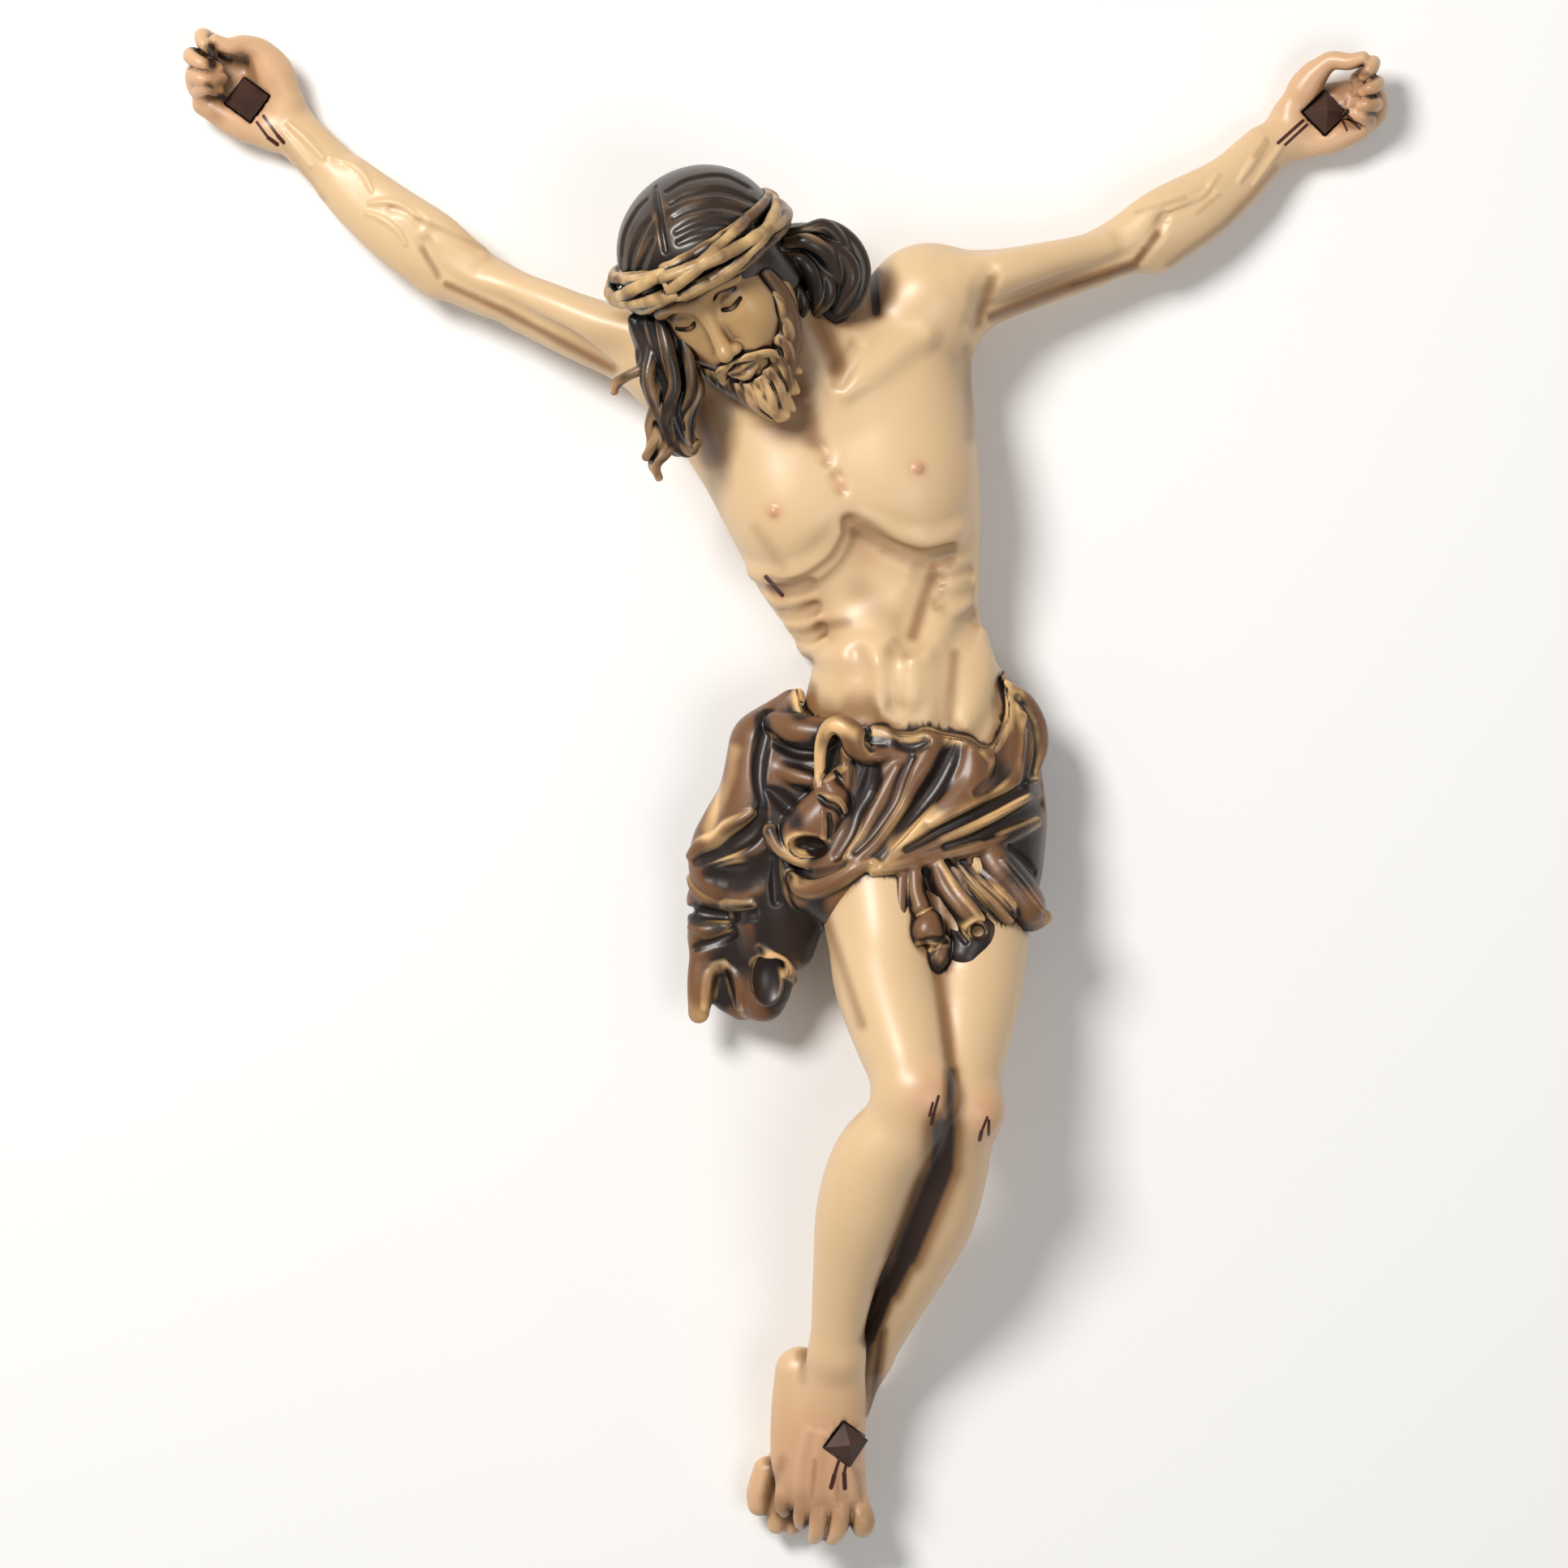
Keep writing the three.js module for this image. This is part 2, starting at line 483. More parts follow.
function face(clay) {
  headEgg(clay, [0, 6, -6, 78, 88, 92]);
  headEgg(clay, [0, -50, 28, 63, 104, 60], { blend: 24 });
  headEgg(clay, [0, -98, 62, 36, 34, 34], { blend: 26 });
  headEgg(clay, [0, -140, 58, 28, 24, 32], { blend: 22 });
  for (const side of [-1, 1]) {
    headEgg(clay, [side * 42, -62, 56, 24, 34, 24], { blend: 26 });
    headEgg(clay, [side * 31, -26, 100, 19, 15, 22], { blend: 14, cut: true });
    headEgg(clay, [side * 31, -27, 66, 18, 14, 15], { blend: 3 });
    headRun(clay, [[side * 9, -4, 86, 7], [side * 31, 4, 88, 7], [side * 56, -6, 72, 6]], { blend: 16 });
    headRun(clay, [[side * 15, -15, 80, 2.5], [side * 31, -9, 84, 2.5], [side * 47, -17, 76, 2.5]],
      { blend: 3, cut: true });
    headRun(clay, [[side * 15, -32, 78, 2], [side * 31, -37, 81, 2.2], [side * 46, -32, 75, 2]],
      { blend: 2, cut: true });
    headRun(clay, [[side * 44, -132, 40, 14], [side * 62, -84, 18, 16],
      [side * 70, -30, 2, 14]], { blend: 22 });
  }
  headRun(clay, [[0, -12, 80, 7], [0, -46, 92, 8], [0, -72, 102, 11]], { blend: 9 });
  headEgg(clay, [0, -76, 108, 10, 9, 9], { blend: 6 });
  for (const side of [-1, 1]) headEgg(clay, [side * 12, -79, 97, 7, 7, 10], { blend: 5 });
  const upperLip = [[-20, -108, 88, 3.5], [-8, -104, 96, 5], [0, -106, 97, 4.5], [8, -104, 96, 5],
    [20, -108, 88, 3.5]];
  headRun(clay, upperLip, { blend: 5 });
  headRun(clay, [[-14, -115, 90, 4], [0, -118, 96, 6.5], [14, -115, 90, 4]], { blend: 5 });
  headRun(clay, [[-22, -110, 92, 2], [0, -111, 102, 2], [22, -110, 92, 2]], { blend: 2, cut: true });
}

// A twist of strands: each winds around the rows' path, so that hair and thorn twigs show their carving
function twist(rows, { strands, turns, thick = 0.68, wide = 0.5 }) {
  const path = smooth(rows, 5);
  return Array.from({ length: strands }, (_, k) => path.map(([x, y, z, r], i) => {
    const angle = 2 * Math.PI * (k / strands + (turns * i) / (path.length - 1));
    const side = r * wide * Math.cos(angle);
    return [x + side, y + 0.4 * side, z + r * wide * Math.sin(angle), r * thick];
  }));
}

function lock(clay, rows, turns) {
  for (const strand of twist(rows, { strands: 2, turns })) clay.run(strand, { blend: 3, pieces: 1 });
}

// Grooves between the combed strands, from the parting down to the crown
const combed = [
  [[808, 240, 3], [811, 258, 4], [815, 280, 4], [820, 304, 4]],
  [[818, 240, 1], [842, 224, 3], [890, 222, 3], [930, 240, 3]],
  [[820, 256, 1], [850, 238, 4], [900, 240, 5], [940, 262, 3]],
  [[822, 272, 1], [855, 254, 4], [905, 256, 5], [942, 276, 3]],
  [[824, 286, 1], [860, 271, 4], [905, 271, 5], [938, 288, 3]],
  [[828, 300, 1], [850, 290, 4], [888, 286, 5], [924, 298, 3]],
  [[801, 240, 1], [784, 254, 4], [768, 288, 5], [764, 330, 3]],
  [[804, 264, 1], [792, 278, 4], [778, 310, 5], [774, 344, 3]],
  [[808, 292, 1], [800, 304, 4], [789, 326, 5], [786, 346, 3]],
];

// Hair that hangs free: the thick locks first, then the waves on top
const hangingMass = [
  [[800, 400, 250, 26], [818, 450, 246, 28], [832, 505, 236, 26], [836, 545, 226, 18]],
  [[952, 312, 232, 30], [990, 312, 226, 38], [1022, 326, 216, 40], [1034, 352, 208, 32],
    [1020, 380, 202, 20]],
];
const hangingLocks = [
  [[786, 392, 262, 11], [800, 430, 266, 12], [798, 466, 268, 12], [812, 500, 262, 12], [826, 528, 250, 11],
    [818, 556, 240, 11], [807, 572, 234, 10], [812, 589, 230, 6]],
  [[808, 396, 276, 12], [820, 436, 278, 13], [832, 476, 270, 12], [824, 512, 260, 12], [836, 544, 246, 11],
    [850, 556, 240, 10], [860, 546, 240, 7]],
  [[830, 404, 276, 11], [846, 440, 274, 12], [856, 480, 264, 12], [846, 516, 252, 11], [852, 544, 242, 9]],
  [[794, 430, 258, 10], [792, 452, 258, 10], [774, 463, 254, 9], [760, 472, 250, 8], [757, 483, 248, 6]],
  [[800, 468, 262, 10], [806, 496, 262, 10], [804, 520, 252, 9], [806, 540, 246, 9], [798, 562, 238, 9]],
  [[958, 294, 252, 12], [989, 286, 250, 13], [1018, 280, 244, 15], [1044, 302, 234, 15], [1056, 338, 222, 15],
    [1050, 374, 212, 12], [1028, 394, 206, 6]],
  [[962, 304, 262, 13], [994, 300, 260, 16], [1026, 314, 250, 17], [1042, 346, 238, 17],
    [1032, 378, 222, 12]],
  [[960, 320, 262, 13], [988, 324, 260, 15], [1010, 344, 250, 16], [1014, 370, 236, 14], [1000, 392, 220, 7]],
  [[954, 330, 250, 10], [972, 346, 250, 12], [984, 372, 240, 12], [988, 400, 224, 6]],
];

function hair(clay) {
  headEgg(clay, [0, 14, -12, 101, 90, 102], { blend: 8 });
  headEgg(clay, [0, -66, 62, 58, 74, 66], { blend: 12, cut: true });
  face(clay);
  for (const rows of combed) clay.drape(rows, { lift: 0.5, blend: 9, cut: true });
  // hair beside the face and down the back
  for (const side of [-1, 1]) {
    headRun(clay, [[side * 80, 20, 30, 16], [side * 78, -24, 20, 18],
      [side * 70, -70, -4, 22]], { blend: 8 });
  }
  headRun(clay, [[0, -20, -74, 58], [0, -80, -64, 50], [0, -130, -54, 32]], { blend: 20 });
  for (const rows of hangingMass) clay.run(drawn(rows), { blend: 12 });
  for (const rows of hangingLocks) lock(clay, drawn(rows), 0.8);
}

function beard(clay) {
  for (const side of [-1, 1]) {
    headRun(clay, [[side * 72, -36, 34, 9], [side * 68, -80, 36, 14], [side * 50, -120, 50, 19],
      [side * 18, -146, 68, 22]], { blend: 12 });
    const whiskers = [[side * 2, -90, 102, 4], [side * 14, -95, 99, 7], [side * 28, -104, 90, 7],
      [side * 38, -118, 78, 6], [side * 41, -132, 70, 3]];
    lock(clay, whiskers.map((row) => onHead(...row)), 1);
    // tufts along the jaw, longer toward the chin
    for (const [from, top, fall, front] of [[66, -62, 44, 48], [60, -88, 46, 56], [48, -104, 54, 66],
      [34, -122, 54, 76], [20, -130, 60, 86], [7, -132, 60, 92]]) {
      const rows = [[side * from, top, front, 6], [side * (from - 1), top - fall * 0.5, front + 3, 10],
        [side * (from - 9), top - fall, front - 2, 7], [side * (from - 8), top - fall - 8, front - 8, 3]];
      lock(clay, rows.map((row) => onHead(...row)), 0.7);
    }
  }
}

function crown(clay) {
  const ring = Array.from({ length: 25 }, (_, i) => {
    const angle = (2 * Math.PI * i) / 24;
    const front = 101 * Math.cos(angle);
    return onHead(97 * Math.sin(angle), 10 + 0.26 * front - 5 * Math.sin(angle), front - 2, 29);
  });
  // two pairs of strands, wound in opposite ways
  for (const turns of [1.5, -1]) {
    for (const strand of twist(ring, { strands: 3, turns, thick: 0.4, wide: 0.64 })) {
      clay.run(strand, { blend: 3, pieces: 1 });
    }
  }
}

// Loincloth: a wrap around the hips, folds across it, a knot at the side, a hanging end and a fan of pleats

const wrap = [
  [[1116, 900, 102, 122], [1122, 930, 102, 155], [1128, 1000, 102, 158], [1136, 1056, 108, 148]],
  [[1092, 1010, 126, 98], [1076, 1060, 154, 90], [1046, 1084, 162, 62], [1010, 1090, 152, 40]],
  [[1200, 1010, 118, 82], [1206, 1056, 136, 72]],
];

// Crests of the folds that cross the front: x, y and radius
const folds = [
  [[1150, 914, 9], [1138, 940, 17], [1122, 962, 18], [1108, 992, 16], [1094, 1016, 14], [1078, 1040, 13],
    [1058, 1060, 13], [1034, 1076, 13], [1010, 1088, 13], [990, 1092, 12], [974, 1078, 9], [964, 1056, 7],
    [958, 1036, 4]],
  [[1200, 926, 8], [1200, 948, 16], [1194, 968, 19], [1178, 988, 21], [1154, 1006, 20], [1124, 1028, 17],
    [1100, 1046, 12], [1082, 1066, 6]],
  [[1256, 874, 8], [1262, 912, 12], [1257, 944, 13], [1240, 968, 14], [1212, 984, 14], [1182, 998, 12],
    [1150, 1014, 5]],
  [[1276, 964, 7], [1252, 987, 12], [1228, 1003, 13], [1194, 1020, 13], [1158, 1036, 12], [1118, 1054, 9],
    [1088, 1068, 4]],
  [[1278, 1012, 5], [1252, 1024, 9], [1228, 1036, 9], [1196, 1047, 9], [1160, 1056, 9], [1112, 1068, 8],
    [1076, 1075, 5]],
  [[1106, 948, 7], [1090, 980, 14], [1076, 1008, 14], [1062, 1034, 10], [1044, 1054, 4]],
  [[1238, 842, 5], [1262, 862, 10], [1277, 890, 12], [1281, 920, 11], [1276, 950, 5]],
  [[1210, 926, 5], [1222, 940, 10], [1216, 962, 10], [1200, 976, 5]],
];
// The creases between them: how far each is lifted, and its rows
const creases = [
  [0.0, [[1178, 914, 5], [1168, 938, 11], [1152, 968, 11], [1128, 1000, 9], [1104, 1032, 6],
    [1086, 1056, 2]]],
  [0.4, [[1238, 872, 5], [1240, 908, 11], [1238, 940, 11], [1226, 962, 7], [1204, 976, 2]]],
  [0.1, [[1288, 968, 6], [1260, 976, 8], [1228, 991, 8], [1192, 1008, 7], [1154, 1026, 5], [1118, 1046, 2]]],
  [0.1, [[1288, 990, 8], [1264, 1001, 9], [1236, 1014, 7], [1202, 1030, 5], [1166, 1042, 2]]],
  [0.1, [[1256, 860, 2], [1268, 882, 5], [1271, 914, 6], [1268, 942, 6], [1262, 966, 3]]],
  [0.1, [[1124, 934, 2], [1112, 960, 6], [1103, 986, 6], [1088, 1010, 5], [1072, 1030, 5], [1054, 1048, 2]]],
  [0.1, [[1076, 944, 6], [1070, 972, 11], [1056, 998, 8], [1047, 1026, 6], [1030, 1054, 3]]],
  [0.2, [[1102, 914, 5], [1122, 918, 7], [1140, 914, 3]]],
  [0.2, [[1040, 1066, 2], [1016, 1076, 6], [996, 1078, 6], [982, 1062, 3]]],
  [0.0, [[948, 876, 4], [944, 900, 8], [937, 930, 8], [935, 960, 6], [940, 990, 2]]],
  [0.1, [[958, 916, 3], [982, 924, 8], [1006, 926, 8]]],
  [0.2, [[950, 974, 3], [966, 988, 9], [980, 1006, 8], [974, 1024, 3]]],
  [0.1, [[856, 1062, 3], [882, 1052, 10], [906, 1038, 13], [928, 1022, 12], [938, 1000, 5]]],
  [0.6, [[870, 1080, 8], [898, 1084, 20], [930, 1078, 18], [948, 1056, 6]]],
  [0.1, [[956, 1056, 2], [955, 1080, 5], [956, 1110, 3]]],
  [0.0, [[846, 1120, 3], [872, 1126, 7], [900, 1128, 8], [928, 1126, 7]]],
  [0.2, [[856, 1168, 2], [880, 1160, 6], [902, 1150, 4]]],
];
const pleats = [
  [[1112, 1078, 208, 10], [1111, 1120, 217, 9], [1115, 1160, 222, 7]],
  [[1190, 1116, 178, 38], [1198, 1150, 190, 34], [1190, 1176, 200, 26]],
  [[1128, 1062, 206, 10], [1129, 1096, 214, 11], [1135, 1118, 220, 13]],
  [[1145, 1136, 222, 17], [1143, 1148, 222, 22], [1140, 1158, 220, 18]],
  [[1130, 1164, 222, 12], [1124, 1174, 220, 9]],
  [[1160, 1162, 218, 12], [1156, 1180, 218, 14], [1151, 1192, 216, 10]],
  [[1152, 1062, 202, 10], [1166, 1094, 214, 13], [1184, 1118, 220, 15], [1196, 1133, 220, 16]],
  [[1178, 1060, 194, 8], [1204, 1090, 206, 11], [1226, 1112, 206, 13], [1240, 1128, 200, 12]],
  [[1206, 1052, 184, 16], [1230, 1086, 192, 21], [1252, 1112, 186, 22], [1260, 1126, 178, 16]],
  [[1228, 1044, 170, 21], [1252, 1082, 170, 23], [1272, 1112, 160, 21], [1283, 1127, 150, 14]],
];
// Rolls and slits on the pleats and the knot
const rolls = [
  [[1160, 1064, 4], [1180, 1096, 6], [1200, 1120, 6], [1210, 1132, 4]],
  [[1194, 1060, 4], [1220, 1086, 8], [1252, 1120, 8]], [[1222, 1050, 5], [1256, 1088, 9], [1290, 1128, 6]],
  [[1008, 956, 3], [1009, 973, 5], [1020, 982, 5], [1033, 987, 5], [1041, 999, 3]],
  [[1018, 962, 2], [1030, 952, 5], [1040, 946, 3]], [[1014, 1000, 2], [1016, 1018, 5], [1014, 1034, 3]],
];
const slits = [
  [[1138, 1074, 3], [1150, 1106, 6], [1176, 1142, 6], [1190, 1160, 3]],
  [[1168, 1062, 3], [1186, 1090, 5], [1208, 1116, 5], [1226, 1134, 3]],
  [[1186, 1062, 2], [1208, 1086, 5], [1232, 1108, 5], [1252, 1130, 3]],
  [[1244, 1044, 3], [1262, 1060, 6], [1276, 1076, 4]],
  [[1009, 981, 2], [1018, 989, 4], [1030, 994, 4], [1037, 1004, 2]], [[1068, 898, 3], [1069, 914, 5],
    [1074, 924, 3]],
  [[1022, 1004, 2], [1024, 1020, 4], [1022, 1032, 2]], [[1134, 1160, 2], [1148, 1158, 4], [1170, 1159, 3]],
];
const knot = [
  [[1011, 972, 194, 7], [1010, 944, 196, 7], [1012, 916, 202, 8], [1021, 897, 208, 10], [1036, 894, 212, 13],
    [1049, 904, 212, 16], [1055, 919, 208, 16], [1066, 929, 204, 12], [1082, 931, 200, 10]],
  [[1082, 931, 200, 10], [1096, 925, 198, 9], [1100, 912, 196, 8], [1092, 902, 194, 7], [1078, 899, 192, 6]],
  [[1090, 913, 190, 9], [1082, 915, 190, 8]],
  [[1044, 926, 196, 9], [1043, 946, 194, 10], [1042, 970, 190, 11]],
  [[1016, 904, 180, 19], [984, 900, 168, 20], [956, 892, 150, 15]],
  [[1008, 963, 180, 12], [984, 957, 170, 13], [962, 948, 158, 12], [944, 936, 148, 9]],
  [[1022, 968, 194, 15], [1030, 984, 196, 18], [1040, 1002, 190, 11]],
  [[1026, 976, 180, 20], [1019, 996, 184, 29], [1006, 1014, 180, 34], [998, 1024, 174, 36]],
  [[950, 1024, 168, 8], [960, 1044, 172, 9], [978, 1056, 176, 9], [1000, 1063, 178, 8], [1018, 1056, 178, 7]],
];
const hangingEnd = [
  [[978, 874, 112, 25], [944, 910, 112, 34], [934, 960, 112, 40], [915, 1004, 108, 40], [895, 1034, 104, 36]],
  [[944, 920, 130, 46], [938, 980, 132, 50], [930, 1040, 128, 52]],
  [[1000, 890, 130, 40], [990, 950, 136, 46], [984, 1010, 138, 46]],
  [[917, 1024, 104, 50], [897, 1062, 100, 49], [894, 1084, 98, 34]],
  [[950, 1040, 124, 52], [946, 1100, 116, 50], [950, 1150, 104, 42]],
  [[884, 1110, 78, 38], [886, 1148, 76, 38]],
  [[870, 1160, 82, 18], [864, 1206, 82, 17], [861, 1248, 76, 13]],
  [[924, 1160, 84, 36], [938, 1206, 80, 38], [940, 1231, 76, 28]],
  [[892, 1170, 66, 24], [893, 1214, 62, 25], [914, 1238, 60, 19]],
  [[992, 1090, 110, 34], [984, 1130, 104, 32], [976, 1168, 96, 28]],
];
// Thin edges where the cloth ends
const hems = [
  [[850, 1054, 5], [862, 1042, 8], [880, 1035, 8], [895, 1021, 8], [911, 1011, 7], [926, 1002, 4]],
  [[850, 1082, 5], [858, 1097, 7], [872, 1108, 7], [890, 1114, 7], [908, 1115, 7], [926, 1114, 5]],
  [[870, 1240, 5], [872, 1214, 7], [877, 1197, 7], [890, 1189, 7], [903, 1197, 7], [911, 1214, 7],
    [912, 1240, 5]],
  [[936, 1166, 4], [949, 1179, 7], [964, 1188, 7], [974, 1200, 7], [977, 1216, 4]],
  [[852, 1142, 5], [872, 1146, 9], [894, 1142, 5]],
  [[976, 1080, 4], [984, 1096, 8], [1006, 1096, 9], [1032, 1085, 9], [1056, 1070, 8], [1076, 1064, 5]],
];
// The upper edge of the wrap, rolled over
const waist = [[984, 852], [990, 876], [1011, 893], [1050, 898], [1092, 904], [1124, 906], [1140, 900],
  [1161, 906],
    [1192, 912], [1208, 922], [1224, 920], [1237, 900], [1243, 872], [1236, 838]];
// Hollows in the cloth: middle and radii
const hollows = [
  [[948, 1214, 116], [25, 40, 22]], [[891, 1226, 104], [12, 32, 18]], [[995, 1044, 200], [24, 14, 28]],
  [[1206, 1146, 226], [13, 11, 14]], [[1140, 1172, 236], [11, 9, 12]],
];

function loincloth(clay) {
  const edge = smooth(waist, 3).map(([x, y]) => {
    const [ex, ey] = place(x, y, 160);
    return [ex, ey, clay.top(ex, ey) + 2, 6];
  });
  for (const rows of wrap) clay.run(drawn(rows), { flat: 1.5, blend: 24 });
  for (const x of [1075, 1185]) clay.egg(spot([x, 1000, 44]), [74, 96, 54], { blend: 40 });
  for (const rows of hangingEnd) clay.run(drawn(rows), { flat: 1.3, blend: 14 });
  for (const rows of folds) clay.drape(rows, { lift: -0.55, blend: 7 });
  for (const [lift, rows] of creases) clay.drape(rows, { lift, blend: 8, cut: true });
  for (const rows of hems) clay.drape(rows, { lift: -0.4, blend: 6 });
  clay.run(edge, { blend: 5, pieces: 1 });
  for (const rows of knot) clay.run(drawn(rows), { blend: 5 });
  clay.run(drawn([[1027, 910, 216, 7], [1029, 932, 212, 8], [1028, 952, 212, 6]]), { blend: 3, cut: true });
  for (const rows of pleats) clay.run(drawn(rows), { blend: 4 });
  for (const rows of rolls) clay.drape(rows, { lift: -0.4, blend: 4 });
  for (const rows of slits) clay.drape(rows, { lift: 0.2, blend: 4, cut: true });
  for (const [middle, radii] of hollows) clay.egg(spot(middle), radii, { blend: 4, cut: true });
}

function figure() {
  const clay = new Clay();
  torso(clay);
  neck(clay);
  arm(clay, rightArm);
  arm(clay, leftArm);
  armDetails(clay);
  ribs(clay);
  hand(clay, rightHand);
  hand(clay, leftHand);
  legs.forEach((one) => leg(clay, one));
  foot(clay, leftFoot);
  foot(clay, rightFoot);
  loincloth(clay);
  hair(clay);
  beard(clay);
  crown(clay);
  return clay;
}

// The mesh on the clay: six tetrahedra in each cell of a lattice, which always closes

const cellSize = 8.4;
const blockCells = 8;
const tetrahedra = [[1, 3], [1, 5], [2, 3], [2, 6], [4, 5], [4, 6]].map(([a, b]) => [0, a, b, 7]);

function layMesh(clay) {
  const edge = cellSize * blockCells;
  const lo = [0, 1, 2].map((i) => Math.min(...clay.ops.filter((o) => !o.cut).map((o) => o.lo[i])) - cellSize);
  const hi = [0, 1, 2].map((i) => Math.max(...clay.ops.filter((o) => !o.cut).map((o) => o.hi[i])) + cellSize);
  lo[2] = -2.5 * cellSize;
  const count = lo.map((v, i) => Math.ceil((hi[i] - v) / edge));
  const total = count.map((n) => n * blockCells + 1);
  const points = [];
  const faces = [];
  const known = new Map();
  const side = blockCells + 1;
  const values = new Float64Array(side ** 3);
  const reach = (edge * Math.sqrt(3)) / 2;
  const pad = 1.5 * cellSize;

  const corner = (base, k) => [base[0] + (k & 1), base[1] + ((k >> 1) & 1), base[2] + ((k >> 2) & 1)];
  const flatIndex = ([x, y, z], first) => (x - first[0]) + side * ((y - first[1]) + side * (z - first[2]));
  const number = ([x, y, z]) => x + total[0] * (y + total[1] * z);

  function crossing(base, a, b, first) {
    const [low, high] = a < b ? [a, b] : [b, a];
    const [p, q] = [corner(base, low), corner(base, high)];
    const key = number(p) * 8 + (low ^ high);
    if (!known.has(key)) {
      const [u, v] = [values[flatIndex(p, first)], values[flatIndex(q, first)]];
      const t = Math.min(0.9, Math.max(0.1, u / (u - v)));
      known.set(key, points.length / 3);
      points.push(...p.map((n, i) => lo[i] + cellSize * (n + t * (q[i] - n))));
    }
    return known.get(key);
  }

  function fillBlock(first, ops) {
    for (let z = 0; z < side; z++) {
      for (let y = 0; y < side; y++) {
        for (let x = 0; x < side; x++) {
          const at = [x, y, z].map((n, i) => lo[i] + cellSize * (first[i] + n));
          const value = Math.max(Clay.distance(ops, ...at), -2 * cellSize - at[2]);
          values[x + side * (y + side * z)] = value || 1e-6;
        }
      }
    }
  }

  function cellFaces(base, first) {
    const inside = [];
    let some = 0;
    for (let k = 0; k < 8; k++) {
      inside.push(values[flatIndex(corner(base, k), first)] < 0);
      some += inside[k] ? 1 : 0;
    }
    if (some === 0 || some === 8) return;
    tetrahedra.forEach(([a, b, c, d], n) => {
      const tet = n === 0 || n === 3 || n === 4 ? [a, b, c, d] : [a, c, b, d];
      const ins = tet.filter((k) => inside[k]);
      const outs = tet.filter((k) => !inside[k]);
      if (!ins.length || !outs.length) return;
      // the order of the corners tells which way a face turns
      const order = [...ins, ...outs].map((k) => tet.indexOf(k));
      let swaps = 0;
      for (let i = 0; i < 4; i++) for (let j = i + 1; j < 4; j++) if (order[i] > order[j]) swaps++;
      const cut = (i, j) => crossing(base, i, j, first);
      const push = (p, q, r) => faces.push(...(swaps % 2 ? [p, r, q] : [p, q, r]));
      if (ins.length === 1) push(cut(ins[0], outs[0]), cut(ins[0], outs[1]), cut(ins[0], outs[2]));
      if (ins.length === 3) push(cut(ins[0], outs[0]), cut(ins[1], outs[0]), cut(ins[2], outs[0]));
      if (ins.length === 2) {
        const [p, q] = [cut(ins[0], outs[0]), cut(ins[0], outs[1])];
        const [r, s] = [cut(ins[1], outs[1]), cut(ins[1], outs[0])];
        push(p, q, r);
        push(p, r, s);
      }
    });
  }

  for (let bz = 0; bz < count[2]; bz++) {
    for (let by = 0; by < count[1]; by++) {
      for (let bx = 0; bx < count[0]; bx++) {
        const first = [bx, by, bz].map((n) => n * blockCells);
        const low = first.map((n, i) => lo[i] + n * cellSize);
        const high = low.map((v) => v + edge);
        const ops = clay.near(low, high, pad);
        if (!ops.some((o) => !o.cut)) continue;
        const middle = low.map((v) => v + edge / 2);
        if (Math.abs(Clay.distance(ops, ...middle)) > reach * 1.3 && middle[2] > edge) continue;
        fillBlock(first, ops);
        for (let z = 0; z < blockCells; z++) {
          for (let y = 0; y < blockCells; y++) {
            for (let x = 0; x < blockCells; x++) cellFaces([first[0] + x, first[1] + y, first[2] + z], first);
          }
        }
      }
    }
  }
  return { points, faces };
}

// Thinning: the edge whose loss harms the shape least is closed first, until few enough faces are left

const facesKept = 9000;
// The head, hands and feet keep more faces: each row is a middle, a reach and how many times the care
const detail = [
  { middle: headMiddle, reach: 190, times: 3 },
  { middle: place(300, 110, 30), reach: 120, times: 3 },
  { middle: place(1640, 130, 30), reach: 120, times: 3 },
  { middle: place(1000, 1840, 60), reach: 130, times: 2 },
];

function careFor(x, y, z) {
  const near = detail.find(({ middle: [a, b, c], reach }) => Math.hypot(x - a, y - b, z - c) < reach);
  return near ? near.times : 1;
}

// A heap of [cost, a, b, stamp], cheapest first
class Heap {
  constructor() {
    this.rows = [];
  }

  push(row) {
    const { rows } = this;
    let i = rows.push(row) - 1;
    while (i > 0) {
      const up = (i - 1) >> 1;
      if (rows[up][0] <= row[0]) break;
      rows[i] = rows[up];
      i = up;
    }
    rows[i] = row;
  }

  pop() {
    const { rows } = this;
    const first = rows[0];
    const last = rows.pop();
    if (!rows.length) return first;
    let i = 0;
    for (;;) {
      let down = 2 * i + 1;
      if (down >= rows.length) break;
      if (down + 1 < rows.length && rows[down + 1][0] < rows[down][0]) down++;
      if (rows[down][0] >= last[0]) break;
      rows[i] = rows[down];
      i = down;
    }
    rows[i] = last;
    return first;
  }
}

